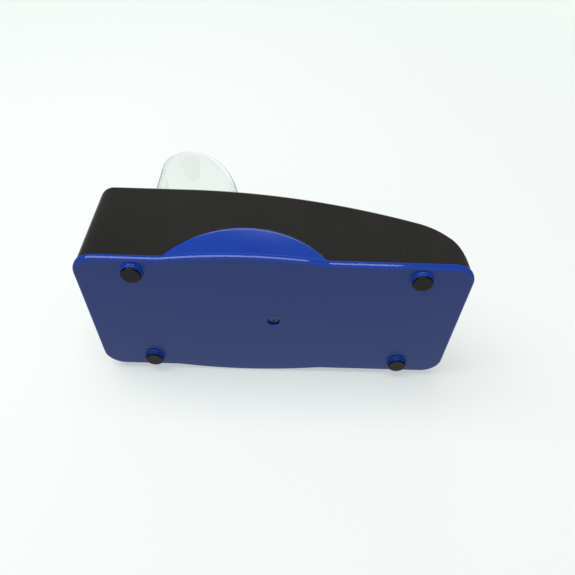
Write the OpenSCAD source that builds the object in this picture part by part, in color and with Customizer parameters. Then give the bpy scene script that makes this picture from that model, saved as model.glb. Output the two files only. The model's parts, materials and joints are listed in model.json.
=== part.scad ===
// Benchtop carton sealing tape machine: black housing on a blue base, clear roll guard on top.
// X runs from the back to the cutter, Z is up, and the origin is under the middle of the feet.

/* [Base cover] */
// Length of the base
base_l = 200; // [190:1:240]
// Width of the base across its straight sides
base_w = 90.7; // [86:0.1:110]
// Corner radius of the base in plan
base_corner = 11.4; // [9:0.1:16]
// Height of the blue edge below the parting line
rim_h = 3.2; // [2.8:0.1:5]
// Thickness of the base's floor
floor_t = 2.4; // [1.8:0.1:2.8]
// Width of the step under the edge of the base
rim_step = 1.2; // [0.6:0.1:2]
// How far the side swells out at its middle
bulge = 3.3; // [2:0.1:5]
// Half of the length of the swelling
bulge_half_l = 41.5; // [36:0.5:46]
// Place of the swelling's middle along the machine
bulge_x = -14.6; // [-20:0.1:0]
// Radius of the half-moon cover on each side
moon_r = 47.2; // [44:0.1:52]
// Height of the half-moon above the base's underside
moon_top = 26.2; // [20:0.1:30]
// Thickness of the half-moon and of the locating lip
lip_t = 1.8; // [1.4:0.1:2.2]
// Step between the rim's edge and the half-moon's face
moon_step = 0.4; // [0.3:0.05:0.8]
// Height of the locating lip above the parting line
lip_h = 3; // [2:0.1:3.2]

/* [Feet] */
// Gap between the base and the table
foot_h = 3; // [2.4:0.1:6]
// Radius of the moulded ring round a foot pad
foot_ring_r = 5.9; // [5.6:0.1:8]
// Radius of a rubber foot pad
pad_r = 5.1; // [4:0.1:5.3]
// Thickness of a rubber foot pad
pad_t = 2.4; // [2:0.1:3]
// How far a pad stands below its ring
pad_proud = 1; // [0.5:0.1:1.4]
// Distance of the back feet from the middle
foot_back = 70; // [50:0.5:80]
// Distance of the front feet from the middle
foot_front = 73.4; // [50:0.1:80]
// Distance of the feet from the centre line
foot_side = 36.5; // [30:0.1:38]

/* [Housing] */
// Height of the housing's top above the base's underside
crown_h = 58; // [54:0.5:64]
// Place along the machine where the top starts to slope
crown_x = -50; // [-60:1:-45]
// Radius of the sloping top
top_r = 350; // [320:1:420]
// Radius of the rounded nose
nose_r = 35; // [30:0.5:38]
// How far the housing's ends stand in from the base's ends
end_inset = 1.3; // [0.8:0.1:3]
// How far the housing's sides stand in from the base's sides
side_inset = 0.6; // [0.4:0.1:2]
// How far the nose stands in from the base's front end
nose_inset = 2.5; // [1.5:0.1:5]
// Lean of the housing's walls
draft = 1.25; // [0.5:0.05:1.5]
// Corner radius of the housing in plan
housing_corner = 9; // [7:0.1:12]
// Radius of the housing's rear top edge
rear_edge_r = 3; // [2:0.1:4]
// Wall of the housing
wall = 2.2; // [1.8:0.1:2.6]
// Half of the width of the open channel in the top
channel_half = 27; // [26.6:0.1:28]
// Back end of the open channel
channel_back = -76; // [-78:0.5:-74]
// Height of the front wall left under the cutter
front_wall_h = 17; // [12:0.5:18]

/* [Tape] */
// Width of the carton tape
tape_w = 48; // [44:1:48]
// Radius of the tape roll
roll_r = 30; // [24:0.5:30]
// Radius of the bore of the cardboard core
core_bore_r = 12.7; // [12.5:0.1:13.5]
// Wall of the cardboard core
core_t = 2.5; // [2:0.1:3]
// Thickness of the tape strip as drawn
strip_t = 0.3; // [0.2:0.05:0.5]
// Place of the roll along the machine
roll_x = -48; // [-49:0.5:-47]
// Height of the roll's axis above the base's underside
roll_h = 38.5; // [37.5:0.5:39.5]

/* [Running gear] */
// Inner face of the side frames from the centre line
frame_in = 27.5; // [27.2:0.1:28.5]
// Thickness of the side frames
frame_t = 2.5; // [2:0.1:3]
// Radius of the roll's axle
roll_axle_r = 4; // [3:0.1:5]
// Radius of the guide roller
guide_r = 6; // [5:0.1:6.5]
// Place of the guide roller along the machine
guide_x = 0; // [-2:0.5:2]
// Height of the guide roller's axis above the base's underside
guide_h = 46; // [45:0.5:47]
// Radius of the feed roller
feed_r = 7; // [6:0.1:7.2]
// Place of the feed roller along the machine
feed_x = 61; // [59:0.5:62]
// Height of the feed roller's axis above the base's underside
feed_h = 29.5; // [28:0.5:30]
// Radius of the two small axles
axle_r = 2.5; // [2:0.1:3]
// Depth of the deck below the top
deck_drop = 15; // [13:0.5:17]
// Thickness of the deck
deck_t = 2; // [1.5:0.1:2.5]

/* [Cutter] */
// Place of the cutter blade along the machine
blade_x = 79; // [78:0.5:80]
// Height of the teeth's tips above the base's underside
blade_top = 29; // [28:0.5:29.5]
// Thickness of the blade
blade_t = 1; // [0.8:0.1:1.2]
// Height of the blade
blade_h = 12; // [11:0.5:13]
// Half of the blade's width
blade_half = 24.6; // [22:0.1:24.8]
// Spacing of the teeth
tooth_pitch = 2.46; // [2:0.01:4]
// Height of a tooth
tooth_h = 1.8; // [1:0.1:2.4]
// Place of the blade guard's pivot along the machine
flap_x = 74; // [73:0.5:75]
// Height of the blade guard's pivot above the base's underside
flap_h = 14; // [13:0.5:15]
// Radius of the blade guard's pivot pins
flap_pin_r = 1.5; // [1.2:0.1:1.8]

/* [Roll guard] */
// Half of the width of the clear guard
hood_half = 29.5; // [29:0.1:30]
// Wall of the clear guard
hood_t = 1.8; // [1.2:0.1:2]
// Height of the guard above the housing's top
hood_rise = 59; // [50:0.5:66]
// Place of the guard's highest point along the machine
hood_apex = -57; // [-58:0.5:-56]
// Radius of the guard's rear corner
hood_rear_r = 17; // [12:0.5:17.5]
// Length of the guard in front of its highest point
hood_front = 35; // [34.5:0.5:38]
// Height of the tape's way out under the front of the guard
outlet_h = 4.5; // [3.5:0.1:6]
// Radius of the guard's hinge pin
hinge_pin_r = 1.5; // [1.2:0.1:1.8]
// Radius of the hinge knuckles
knuckle_r = 3.2; // [3:0.1:3.4]
// Distance of the hinge's axis behind the guard
hinge_back = 4; // [3.8:0.1:4.5]

/* [Fits] */
// Running gap round a pin or an axle
run_gap = 0.05; // [0.02:0.01:0.08]
// Gap between a fitted piece and its neighbour
fit_gap = 0.2; // [0.1:0.05:0.3]
// Gap under the closed roll guard
seat_gap = 0.3; // [0.2:0.05:0.5]
// Gap at the housing's half-moon cut-outs
moon_gap = 0.3; // [0.2:0.05:0.5]

/* [Fasteners] */
// Radius of the screw recess under the base
recess_r = 3.35; // [3:0.05:4]
// Depth of the screw recess
recess_d = 1.6; // [1.2:0.1:2]
// Radius of a screw's shank
screw_r = 1.5; // [1.2:0.1:1.8]
// Radius of a screw's head
head_r = 2.9; // [2.6:0.1:3]
// Height of a screw's head
head_h = 1.6; // [1.2:0.1:2]

/* [Hidden] */
$fn = 64;
eps = 0.01;                                     // overlap of a cutting solid past a face
under_z = foot_h;                               // underside of the base
floor_z = foot_h + floor_t;                     // inside of the base's floor
part_z = foot_h + rim_h;                        // parting line between base and housing
crown_z = foot_h + crown_h;                     // housing's highest line
half_w = base_w/2;
rear_x = -(base_l/2 - end_inset);               // housing's back wall
front_x = base_l/2 - nose_inset;                // tip of the housing's nose
side_y = half_w - side_inset;                   // housing's side at the underside's level
top_lean = crown_h*tan(draft);                  // how far the walls lean in up to the top
nose_x = front_x - nose_r;                      // centre of the nose's arc
nose_turn = asin((nose_x - crown_x)/(top_r - nose_r));
nose_z = crown_z - top_r + (top_r - nose_r)*cos(nose_turn);
bulge_r = (bulge_half_l^2 + bulge^2)/(2*bulge); // plan radius of the swelling
moon_z = under_z + moon_top - moon_r;           // centre of the half-moon's circle
moon_lean = atan((bulge + side_inset + 0.2)/(moon_top - rim_h));
roll_z = under_z + roll_h;
guide_z = under_z + guide_h;
feed_z = under_z + feed_h;
hinge_x = hood_apex - hood_rear_r - hinge_back; // guard's hinge line
bracket_t = 1.2;                                // foot plate of the hinge bracket
hinge_z = crown_z + bracket_t + knuckle_r - 0.6;
frame_out = frame_in + frame_t;
frame_clear = wall + 0.5;                       // frame's top edge below the housing's outer face
frame_back = -84;
frame_front = 86;
boss_top = floor_z + 4;                         // seats for the frames' flanges
boss_r = 4;
flange_t = 2;
flange_w = 9;
frame_hole_x = [-66, 44];                       // screws that hold a frame down
tie_r = 4;
tie_z = floor_z + 6;
blade_base = under_z + blade_top - blade_h;     // lower edge of the blade
flap_z = under_z + flap_h;
brake_x = -12;                                  // brake arm's pivot
brake_z = under_z + 27;
brake_pin_r = 2;

// ---------- shared shapes ----------
module rounded_plan(l, w, r) {                  // rectangle with round corners
    square([l - 2*r, w], center = true);
    square([l, w - 2*r], center = true);
    for (sx = [-1, 1], sy = [-1, 1]) translate([sx*(l/2 - r), sy*(w/2 - r)]) circle(r);
}

module base_plan(inset) {                       // base outline with its two swellings
    rounded_plan(base_l - 2*inset, base_w - 2*inset, base_corner - inset);
    for (s = [-1, 1]) intersection() {
        translate([bulge_x, s*(half_w + bulge - bulge_r)]) circle(bulge_r - inset, $fn = 360);
        translate([bulge_x, s*half_w*0.9]) square([2*bulge_half_l, base_w*0.35], center = true);
    }
}

function arc(cx, cz, r, a0, a1, n) = [for (i = [0:n]) let (a = a0 + (a1 - a0)*i/n) [cx + r*cos(a), cz + r*sin(a)]];

function side_points(w) = concat(               // side view of the housing, moved in by w
    [[front_x - w, 0]],
    arc(nose_x, nose_z, nose_r - w, 0, 90 - nose_turn, 16),
    arc(crown_x, crown_z - top_r, top_r - w, 90 - nose_turn, 90, 20),
    w < rear_edge_r - 0.5
        ? arc(rear_x + rear_edge_r, crown_z - rear_edge_r, rear_edge_r - w, 90, 180, 5)
        : [[rear_x + w, crown_z - w]],
    [[rear_x + w, 0]]);

module along_y(y0, y1) translate([0, y1, 0]) rotate([90, 0, 0]) linear_extrude(height = y1 - y0) children();

module rod(x, z, r, y0, y1) translate([x, y0, z]) rotate([-90, 0, 0]) cylinder(r = r, h = y1 - y0);

module housing_form(w) {                        // outer form moved in by w
    corner = housing_corner - w;
    intersection() {
        hull() for (sx = [-1, 1], sy = [-1, 1], up = [0, 1])
            translate([sx*(base_l/2 - end_inset - w - corner), sy*(side_y - w - up*top_lean - corner),
                       under_z + up*crown_h])
                cylinder(r = corner, h = eps, $fn = 32);
        along_y(-base_w, base_w) polygon(side_points(w));
    }
}

module moon_disc(r, y0, y1) rod(bulge_x, moon_z, r, y0, y1);

module screw_down(len, r = screw_r) {           // head at z = 0, shank below it
    difference() {
        cylinder(r = head_r, h = head_h);
        for (a = [0, 90]) rotate(a) translate([-1.7, -0.35, head_h - 0.7]) cube([3.4, 0.7, 1]);
    }
    translate([0, 0, -len]) cylinder(r = r, h = len + eps);
}

// ---------- base ----------
module foot_places() for (s = [-1, 1]) {
    translate([-foot_back, s*foot_side]) children();
    translate([foot_front, s*foot_side]) children();
}

module moon_flare() intersection() {            // half-moon that swells out of the side
    moon_disc(moon_r, side_y - wall - lip_t, half_w + bulge + 1);
    translate([bulge_x - moon_r, 0, floor_z]) cube([2*moon_r, base_w, moon_top]);
    translate([bulge_x, half_w + bulge - moon_step, part_z]) rotate([moon_lean, 0, 0])
        translate([0, -bulge_r, -10]) cylinder(r = bulge_r, h = 2*moon_top, $fn = 360);
}

module lip_plan(inset) {                        // locating lip, clear of the housing's walls
    x0 = rear_x + wall + fit_gap + 0.5 + inset;
    x1 = nose_x + sqrt((nose_r - wall)^2 - (part_z + lip_h - nose_z)^2) - fit_gap - 0.3 - inset;
    translate([(x0 + x1)/2, 0])
        rounded_plan(x1 - x0, 2*(side_y - wall - fit_gap - inset) - 1, housing_corner - wall - inset);
}

module base_cover() {
    pad_seat = foot_h - pad_proud;              // depth of a foot ring below the floor
    color([0.13, 0.2, 0.5]) difference() {
        union() {
            translate([0, 0, under_z]) linear_extrude(height = rim_h*0.4 + eps) base_plan(rim_step);
            translate([0, 0, under_z + rim_h*0.4]) linear_extrude(height = rim_h*0.6) base_plan(0);
            translate([0, 0, floor_z]) linear_extrude(height = part_z + lip_h - floor_z) lip_plan(0);
            for (s = [0, 1]) mirror([0, s, 0]) moon_flare();
            translate([0, 0, pad_proud]) linear_extrude(height = pad_seat + eps) foot_places() circle(foot_ring_r);
        }
        difference() {                          // tray inside the locating lip, with its bosses left standing
            translate([0, 0, floor_z]) linear_extrude(height = crown_h) lip_plan(lip_t);
            for (x = frame_hole_x, s = [-1, 1]) translate([x, s*(frame_out + flange_w/2), floor_z - eps])
                cylinder(r = boss_r, h = boss_top - floor_z + eps);
            translate([0, 0, floor_z - eps]) cylinder(r = 2*recess_r, h = tie_z - tie_r - floor_z + eps);
        }
        for (x = frame_hole_x, s = [-1, 1]) translate([x, s*(frame_out + flange_w/2), boss_top - 5])
            cylinder(r = screw_r + run_gap, h = 5 + eps);
        translate([0, 0, under_z - eps]) cylinder(r = recess_r, h = recess_d + eps);
        translate([0, 0, under_z]) cylinder(r = screw_r + fit_gap, h = crown_h/2);
        for (p = [[-foot_back, -1], [-foot_back, 1], [foot_front, -1], [foot_front, 1]])
            translate([p[0], p[1]*foot_side, -eps]) cylinder(r = pad_r + run_gap, h = pad_t + eps);
    }
}

module foot_pads() color([0.12, 0.12, 0.11])
    foot_places() cylinder(r = pad_r, h = pad_t);

module base_screw() color([0.6, 0.6, 0.62])
    translate([0, 0, under_z + recess_d]) mirror([0, 0, 1]) screw_down(tie_z + 1 - under_z - recess_d);

module ballast_weight() {                       // steel plates that keep the machine on the table
    color([0.35, 0.35, 0.36]) difference() {
        translate([16, -22, floor_z]) cube([56, 44, 8]);
        for (x = [22, 66]) translate([x, 0, floor_z - 1]) cylinder(r = screw_r + fit_gap, h = 12);
    }
}

module ballast_screws() color([0.62, 0.62, 0.64])
    for (x = [22, 66]) translate([x, 0, floor_z + 8]) screw_down(8);

// ---------- housing ----------
module upper_housing() {
    color([0.06, 0.06, 0.06]) difference() {
        housing_form(0);
        housing_form(wall);
        translate([-base_l, -base_w, -1]) cube([2*base_l, 2*base_w, part_z + 1]);
        translate([channel_back, -channel_half, under_z + crown_h/2])
            cube([feed_x - channel_back, 2*channel_half, crown_h]);
        translate([feed_x - eps, -channel_half, under_z + front_wall_h]) cube([base_l/2, 2*channel_half, crown_h]);
        moon_disc(moon_r + moon_gap, -base_w, base_w);
        for (s = [-1, 1]) translate([(hinge_x + rear_x)/2 + 1, s*14, crown_z - wall - 1])
            cylinder(r = screw_r + run_gap, h = wall + 2);
    }
}

// ---------- side frames and what they carry ----------
module frame(s) {                               // s = 1 is the left frame, -1 the right one
    difference() {
        union() {
            along_y(min(s*frame_in, s*frame_out), max(s*frame_in, s*frame_out)) intersection() {
                polygon(side_points(frame_clear));
                translate([frame_back, boss_top]) square([frame_front - frame_back, crown_h]);
            }
            for (x = frame_hole_x) translate([x - 6, s > 0 ? frame_out - eps : -frame_out - flange_w + eps, boss_top])
                cube([12, flange_w, flange_t]);
        }
        rod(roll_x, roll_z, roll_axle_r + run_gap, -base_w, base_w);
        translate([roll_x - roll_axle_r - run_gap, -base_w, roll_z])
            cube([2*(roll_axle_r + run_gap), 2*base_w, crown_h]);
        rod(guide_x, guide_z, axle_r + run_gap, -base_w, base_w);
        rod(feed_x, feed_z, axle_r + run_gap, -base_w, base_w);
        rod(brake_x, brake_z, brake_pin_r + run_gap, -base_w, base_w);
        rod(flap_x, flap_z, flap_pin_r + run_gap, -base_w, base_w);
        rod(0, tie_z, tie_r - 1 + run_gap, -base_w, base_w);
        rod(blade_x - holder_t/2, holder_z, holder_rod_r - 1 + run_gap, -base_w, base_w);
        for (x = frame_hole_x) translate([x, s*(frame_out + flange_w/2), 0])
            cylinder(r = screw_r + run_gap, h = crown_h);
    }
}

module frame_left() color([0.55, 0.56, 0.58]) frame(1);

module frame_right() color([0.55, 0.56, 0.58]) frame(-1);

module frame_screws() color([0.62, 0.62, 0.64])
    for (x = frame_hole_x, s = [-1, 1])
        translate([x, s*(frame_out + flange_w/2), boss_top + flange_t]) screw_down(flange_t + 4);

module tie_bar() {                              // spacer between the frames, and the base screw's nut
    color([0.5, 0.5, 0.52]) difference() {
        union() {
            rod(0, tie_z, tie_r, -frame_in + run_gap, frame_in - run_gap);
            rod(0, tie_z, tie_r - 1, -frame_out, frame_out);
        }
        cylinder(r = screw_r + run_gap, h = tie_z + 2);
    }
}

module tape_deck() {                            // floor of the tape's channel, hooked on the two frames
    color([0.08, 0.08, 0.08]) along_y(-frame_in + run_gap, frame_in - run_gap) intersection() {
        difference() {
            polygon(side_points(deck_drop));
            polygon(side_points(deck_drop + deck_t));
        }
        translate([guide_x + guide_r + 3, 0]) square([feed_x - feed_r - guide_r - guide_x - 6, 2*crown_h]);
    }
}

// ---------- tape roll ----------
flange_r = 19;
flange_w2 = 1.2;

module roll_axle() color([0.7, 0.7, 0.72])
    rod(roll_x, roll_z, roll_axle_r, -frame_out - 1.5, frame_out + 1.5);

module axle_collars() color([0.2, 0.2, 0.2])
    for (s = [-1, 1]) difference() {
        rod(roll_x, roll_z, roll_axle_r + 2.5, s > 0 ? frame_out + run_gap : -frame_out - 1.5, s > 0 ? frame_out + 1.5 : -frame_out - run_gap);
        rod(roll_x, roll_z, roll_axle_r + 0.01, -base_w, base_w);
    }

hub_half = tape_w/2 + 0.6;
bush_r = roll_axle_r + 2;

module hub() color([0.85, 0.85, 0.83]) difference() {
    union() {
        rod(roll_x, roll_z, core_bore_r - fit_gap, -hub_half, hub_half);
        rod(roll_x, roll_z, flange_r, hub_half - eps, hub_half + flange_w2);
    }
    rod(roll_x, roll_z, bush_r + 0.02, -base_w, base_w);
}

module hub_flange() color([0.85, 0.85, 0.83]) difference() {
    rod(roll_x, roll_z, flange_r, -hub_half - flange_w2, -hub_half - 0.02);
    rod(roll_x, roll_z, bush_r + 0.02, -base_w, base_w);
}

module hub_bushes() color([0.75, 0.6, 0.3]) for (s = [-1, 1]) difference() {
    rod(roll_x, roll_z, bush_r, s > 0 ? hub_half - 10 : -hub_half - flange_w2, s > 0 ? hub_half + flange_w2 : -hub_half + 10);
    rod(roll_x, roll_z, roll_axle_r + run_gap, -base_w, base_w);
}

module tape_core() color([0.72, 0.58, 0.4]) difference() {
    rod(roll_x, roll_z, core_bore_r + core_t, -tape_w/2 - 0.3, tape_w/2 + 0.3);
    rod(roll_x, roll_z, core_bore_r, -base_w, base_w);
}

module tape_roll() color([0.78, 0.66, 0.45]) difference() {
    rod(roll_x, roll_z, roll_r, -tape_w/2, tape_w/2);
    rod(roll_x, roll_z, core_bore_r + core_t + 0.02, -base_w, base_w);
}

// The strip passes over the roll, under the guide roller and over the feed roller. Each straight
// stretch is tangent to two circles, and its normal turns this far from straight up.
lead_gap = 0.35;                                // strip's distance from the turning pieces
lead_mid = lead_gap + strip_t/2;
function lead_turn(x1, z1, x2, z2, reach) = asin(reach/norm([x2 - x1, z2 - z1])) - atan2(z2 - z1, x2 - x1);
turn_a = lead_turn(roll_x, roll_z, guide_x, guide_z, roll_r + guide_r + 2*lead_mid);
turn_b = lead_turn(guide_x, guide_z, feed_x, feed_z, -guide_r - feed_r - 2*lead_mid);
lead_end = [blade_x + blade_t/2, under_z + blade_top + lead_mid];
turn_c = lead_turn(feed_x, feed_z, lead_end[0], lead_end[1], feed_r + lead_mid);
function on_circle(x, z, r, turn) = [x + r*sin(turn), z + r*cos(turn)];
function lead_points(g) = concat(               // g is the offset from the strip's middle, up being positive
    [on_circle(roll_x, roll_z, roll_r + lead_mid + g, turn_a)],
    [for (i = [0:5]) on_circle(guide_x, guide_z, -guide_r - lead_mid + g, turn_a + (turn_b - turn_a)*i/5)],
    [for (i = [0:3]) on_circle(feed_x, feed_z, feed_r + lead_mid + g, turn_b + (turn_c - turn_b)*i/3)],
    [lead_end + g*[sin(turn_c), cos(turn_c)]]);

module tape_lead() {                            // tape on its way from the roll to the cutter
    lower = lead_points(-strip_t/2);
    upper = lead_points(strip_t/2);
    color([0.8, 0.68, 0.46]) along_y(-tape_w/2, tape_w/2)
        polygon(concat(lower, [for (i = [len(upper) - 1:-1:0]) upper[i]]));
}

// ---------- guide and feed rollers ----------
roller_half = frame_in - 1;

module guide_axle() color([0.7, 0.7, 0.72])
    rod(guide_x, guide_z, axle_r, -frame_out - 1, frame_out + 1);

module guide_roller() color([0.9, 0.9, 0.88]) difference() {
    rod(guide_x, guide_z, guide_r, -roller_half, roller_half);
    rod(guide_x, guide_z, axle_r + run_gap, -base_w, base_w);
    for (y = [-20:8:20]) translate([0, y, 0]) difference() {
        rod(guide_x, guide_z, guide_r + 1, -0.8, 0.8);
        rod(guide_x, guide_z, guide_r - 0.7, -1, 1);
    }
}

module feed_axle() color([0.7, 0.7, 0.72])
    rod(feed_x, feed_z, axle_r, -frame_out - 1, frame_out + 1);

feed_core_r = axle_r + 1.8;

module feed_core() color([0.7, 0.71, 0.72]) difference() {
    rod(feed_x, feed_z, feed_core_r, -roller_half, roller_half);
    rod(feed_x, feed_z, axle_r + run_gap, -base_w, base_w);
}

module feed_sleeve() color([0.15, 0.15, 0.15]) difference() {
    rod(feed_x, feed_z, feed_r, -roller_half + 1, roller_half - 1);
    rod(feed_x, feed_z, feed_core_r + 0.02, -base_w, base_w);
    for (y = [-22:4:22]) translate([0, y, 0]) difference() {
        rod(feed_x, feed_z, feed_r + 1, -0.5, 0.5);
        rod(feed_x, feed_z, feed_r - 0.6, -1, 1);
    }
}

// ---------- roll brake ----------
brake_at = -40;                                 // where the pad meets the roll, from level
pad_gap = 0.3;
pad_h = 3;
pad_span = 7;                                   // half of the pad's angle round the roll
function polar(r, a) = [roll_x + r*cos(a), roll_z + r*sin(a)];
brake_hit = polar(roll_r + pad_gap + pad_h, brake_at);
brake_run = (brake_hit - [brake_x, brake_z])/norm(brake_hit - [brake_x, brake_z]);
brake_out = [-brake_run[1], brake_run[0]];      // square to the arm, away from the roll

module brake_arm() {
    pivot = [brake_x, brake_z];
    color([0.25, 0.25, 0.26]) difference() {
        union() {
            rod(brake_x, brake_z, brake_pin_r + 2, -14, 14);
            along_y(-14, 14) polygon([pivot - 3*brake_out, pivot + 3*brake_out,
                brake_hit + 3*brake_out + 3*brake_run, brake_hit + 0.5*brake_out + 4*brake_run,
                brake_hit - brake_out + 3.4*brake_run, brake_hit - brake_out - 3*brake_run]);
        }
        rod(brake_x, brake_z, brake_pin_r + run_gap, -base_w, base_w);
        rod(roll_x, roll_z, roll_r + pad_gap + pad_h + 0.02, -base_w, base_w);
        rod(brake_x, brake_z, brake_pin_r + 3, -4, 4);
    }
}

module brake_pad() {                            // felt pad, curved to the roll
    color([0.6, 0.58, 0.5]) intersection() {
        difference() {
            rod(roll_x, roll_z, roll_r + pad_gap + pad_h, -12, 12);
            rod(roll_x, roll_z, roll_r + pad_gap, -base_w, base_w);
        }
        along_y(-12, 12) polygon([polar(0, brake_at), polar(roll_r + 8, brake_at - pad_span), polar(roll_r + 8, brake_at + pad_span)]);
    }
}

module brake_pin() color([0.7, 0.7, 0.72])
    rod(brake_x, brake_z, brake_pin_r, -frame_out - 0.5, frame_out + 0.5);

module brake_spring() {                         // torsion spring round the pin, one leg on the tie bar
    color([0.75, 0.75, 0.77]) difference() {
        union() {
            for (i = [0:4]) rod(brake_x, brake_z, brake_pin_r + 1.5, -3.4 + i*1.4, -2.4 + i*1.4);
            rod(brake_x, brake_z, brake_pin_r + 1.1, -3.4, 3.2);
        }
        rod(brake_x, brake_z, brake_pin_r + 0.3, -base_w, base_w);
    }
}

// ---------- cutter ----------
holder_t = 2;
holder_rod_r = 2.5;
holder_z = under_z + 6.5;

module blade_holder() {
    color([0.1, 0.1, 0.1]) difference() {
        union() {
            translate([blade_x - holder_t, -blade_half, holder_z]) cube([holder_t, 2*blade_half, blade_base + blade_h - 4 - holder_z]);
            rod(blade_x - holder_t/2, holder_z, holder_rod_r, -frame_in + run_gap, frame_in - run_gap);
            rod(blade_x - holder_t/2, holder_z, holder_rod_r - 1, -frame_out, frame_out);
        }
        for (y = [-16, 16]) rod_x(blade_x - 4, y, blade_base + 3, screw_r + run_gap, 6);
    }
}

module rod_x(x, y, z, r, len) translate([x, y, z]) rotate([0, 90, 0]) cylinder(r = r, h = len);

module cutter_blade() {
    teeth = floor(2*blade_half/tooth_pitch);
    tip = under_z + blade_top;
    color([0.8, 0.8, 0.82]) difference() {
        translate([blade_x, 0, 0]) rotate([90, 0, 90]) linear_extrude(height = blade_t) polygon(concat(
            [[-teeth*tooth_pitch/2, blade_base], [-teeth*tooth_pitch/2, tip - tooth_h]],
            [for (i = [0:teeth - 1], k = [0, 1]) let (y = (i - teeth/2)*tooth_pitch)
                k == 0 ? [y + tooth_pitch/2, tip] : [y + tooth_pitch, tip - tooth_h]],
            [[teeth*tooth_pitch/2, blade_base]]));
        for (y = [-16, 16]) rod_x(blade_x - 4, y, blade_base + 3, screw_r + run_gap, 6);
    }
}

module blade_screws() color([0.62, 0.62, 0.64])
    for (y = [-16, 16]) translate([blade_x + blade_t, y, blade_base + 3]) rotate([0, 90, 0]) screw_down(blade_t + 3);

module blade_guard() {                          // sprung flap in front of the teeth
    arm_y = blade_half + 0.5;
    arm_end = channel_half - 0.3;
    color([0.12, 0.12, 0.12]) difference() {
        union() {
            for (s = [-1, 1]) {
                y0 = s > 0 ? arm_y : -arm_end;
                y1 = s > 0 ? arm_end : -arm_y;
                rod(flap_x, flap_z, 3.4, y0, y1);
                along_y(y0, y1) polygon([[flap_x - 2.4, flap_z + 2.4], [flap_x + 2, flap_z - 2.6],
                    [blade_x + 7.6, under_z + blade_top - 8], [blade_x + 3.4, under_z + blade_top - 1.4]]);
            }
            along_y(-arm_end, arm_end) polygon([[blade_x + 5.6, under_z + blade_top - 9],
                [blade_x + 7.6, under_z + blade_top - 8], [blade_x + 4.6, under_z + blade_top - 1.2],
                [blade_x + 1.6, under_z + blade_top + 0.9], [blade_x + 1.4, under_z + blade_top - 0.3],
                [blade_x + 3.4, under_z + blade_top - 2]]);
        }
        rod(flap_x, flap_z, flap_pin_r + run_gap, -base_w, base_w);
    }
}

module blade_guard_pins() color([0.7, 0.7, 0.72])
    for (s = [-1, 1]) rod(flap_x, flap_z, flap_pin_r, s > 0 ? 19.5 : -frame_out - 0.5, s > 0 ? frame_out + 0.5 : -19.5);

module blade_guard_spring() color([0.75, 0.75, 0.77]) difference() {
    rod(flap_x, flap_z, flap_pin_r + 1, 20, blade_half);
    rod(flap_x, flap_z, flap_pin_r + 0.2, -base_w, base_w);
}

// ---------- clear roll guard ----------
function hood_points(w) = concat(
    [[hood_apex - hood_rear_r + w, crown_z - 1]],
    arc(hood_apex, crown_z + hood_rise - hood_rear_r, hood_rear_r - w, 180, 90, 12),
    [for (i = [1:22]) let (a = 90 - 90*i/22)
        [hood_apex + (hood_front - w)*cos(a), crown_z + (hood_rise - w)*sin(a)]],
    [[hood_apex + hood_front - w, crown_z - 1]]);

module roll_guard() {
    color([0.85, 0.92, 0.95]) difference() {
        union() {
            difference() {
                along_y(-hood_half, hood_half) polygon(hood_points(0));
                along_y(-hood_half + hood_t, hood_half - hood_t) polygon(hood_points(hood_t));
                translate([-base_l, -base_w, 0]) cube([2*base_l, 2*base_w, crown_z + seat_gap]);
                translate([hood_apex + hood_front/2, -channel_half, 0])
                    cube([hood_front, 2*channel_half, crown_z + outlet_h]);
            }
            for (s = [-1, 1]) {
                y0 = s > 0 ? 15.3 : -23;
                rod(hinge_x, hinge_z, knuckle_r, y0, y0 + 7.7);
                translate([hinge_x, y0, hinge_z + 0.4]) cube([hinge_back + 1, 7.7, knuckle_r - 0.4]);
            }
        }
        rod(hinge_x, hinge_z, hinge_pin_r + run_gap, -base_w, base_w);
    }
}

module guard_pin() color([0.7, 0.7, 0.72]) rod(hinge_x, hinge_z, hinge_pin_r, -24, 24);

module guard_bracket() {
    color([0.09, 0.09, 0.09]) difference() {
        union() {
            translate([rear_x + 5, -18, crown_z]) cube([hinge_x + hinge_back - 0.5 - rear_x - 5, 36, bracket_t]);
            for (s = [-1, 1]) {
                rod(hinge_x, hinge_z, knuckle_r, s > 0 ? 8 : -15, s > 0 ? 15 : -8);
                translate([hinge_x - knuckle_r, s > 0 ? 8 : -15, crown_z]) cube([2*knuckle_r, 7, hinge_z - crown_z]);
            }
        }
        rod(hinge_x, hinge_z, hinge_pin_r + run_gap, -base_w, base_w);
        for (s = [-1, 1]) {
            translate([(hinge_x + rear_x)/2 + 1, s*14, crown_z - 1]) cylinder(r = screw_r + run_gap, h = 6);
            rod(hinge_x, hinge_z, knuckle_r + 0.4, s > 0 ? 15.01 : -23.3, s > 0 ? 23.3 : -15.01);
        }
    }
}

module bracket_screws() color([0.62, 0.62, 0.64])
    for (s = [-1, 1]) translate([(hinge_x + rear_x)/2 + 1, s*14, crown_z + bracket_t]) screw_down(bracket_t + 3.4);

base_cover();
foot_pads();
base_screw();
ballast_weight();
ballast_screws();
upper_housing();
frame_left();
frame_right();
frame_screws();
tie_bar();
tape_deck();
roll_axle();
axle_collars();
hub();
hub_flange();
hub_bushes();
tape_core();
tape_roll();
tape_lead();
guide_axle();
guide_roller();
feed_axle();
feed_core();
feed_sleeve();
brake_arm();
brake_pad();
brake_pin();
brake_spring();
blade_holder();
cutter_blade();
blade_screws();
blade_guard();
blade_guard_pins();
blade_guard_spring();
roll_guard();
guard_pin();
guard_bracket();
bracket_screws();
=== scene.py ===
# Looks for the benchtop carton sealing tape machine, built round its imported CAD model.
# X runs from the back to the cutter, Z is up. Shapes are worked out in millimetres and stored in metres.
import json
import math
import bmesh
import bpy
import numpy as np
from mathutils import Matrix, Vector


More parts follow.
